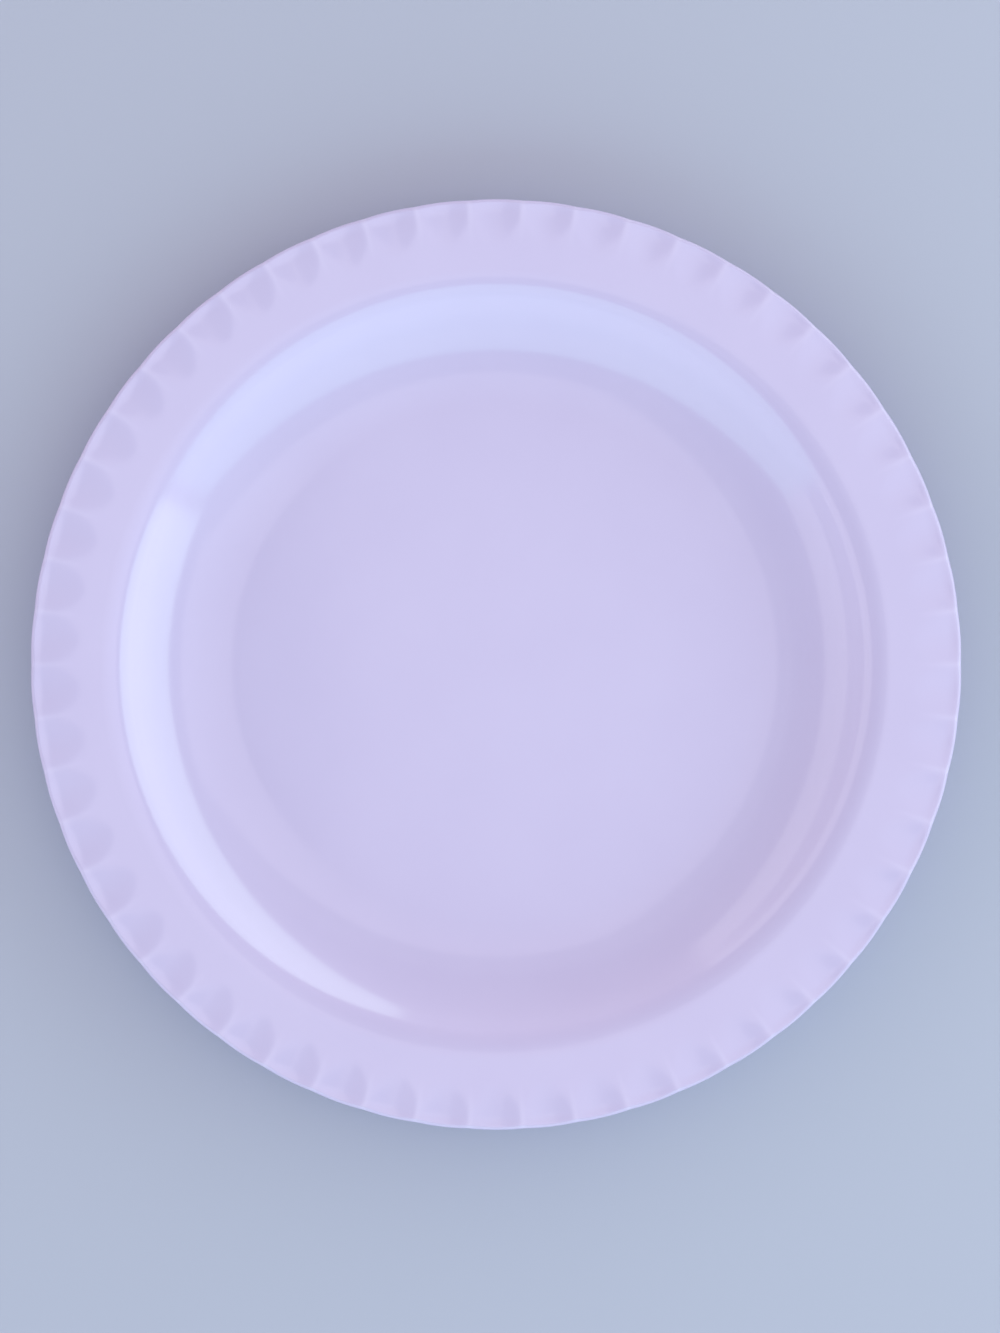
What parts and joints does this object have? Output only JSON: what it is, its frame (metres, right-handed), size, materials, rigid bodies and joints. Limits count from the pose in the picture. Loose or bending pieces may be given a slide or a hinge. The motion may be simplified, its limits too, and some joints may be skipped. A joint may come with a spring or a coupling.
{
  "type": "melamine platter",
  "caption": "Round pressed platter with a coved well, a broad rising rim, scooped flutes round its edge and a foot ring, for serving and carrying food.",
  "frame": {"origin": "on the platter's axis, in the plane of the foot ring's standing face", "axes": "+Z is the platter's axis and points up out of the well; +X runs through the crest between two flutes"},
  "size_m": [0.305, 0.305, 0.0267],
  "materials": {
    "body": "satin, as pressed",
    "glaze": "high gloss"
  },
  "bodies": {
    "root": {"moulded_body": "body", "face_glaze": "glaze"}
  },
  "joints": []
}
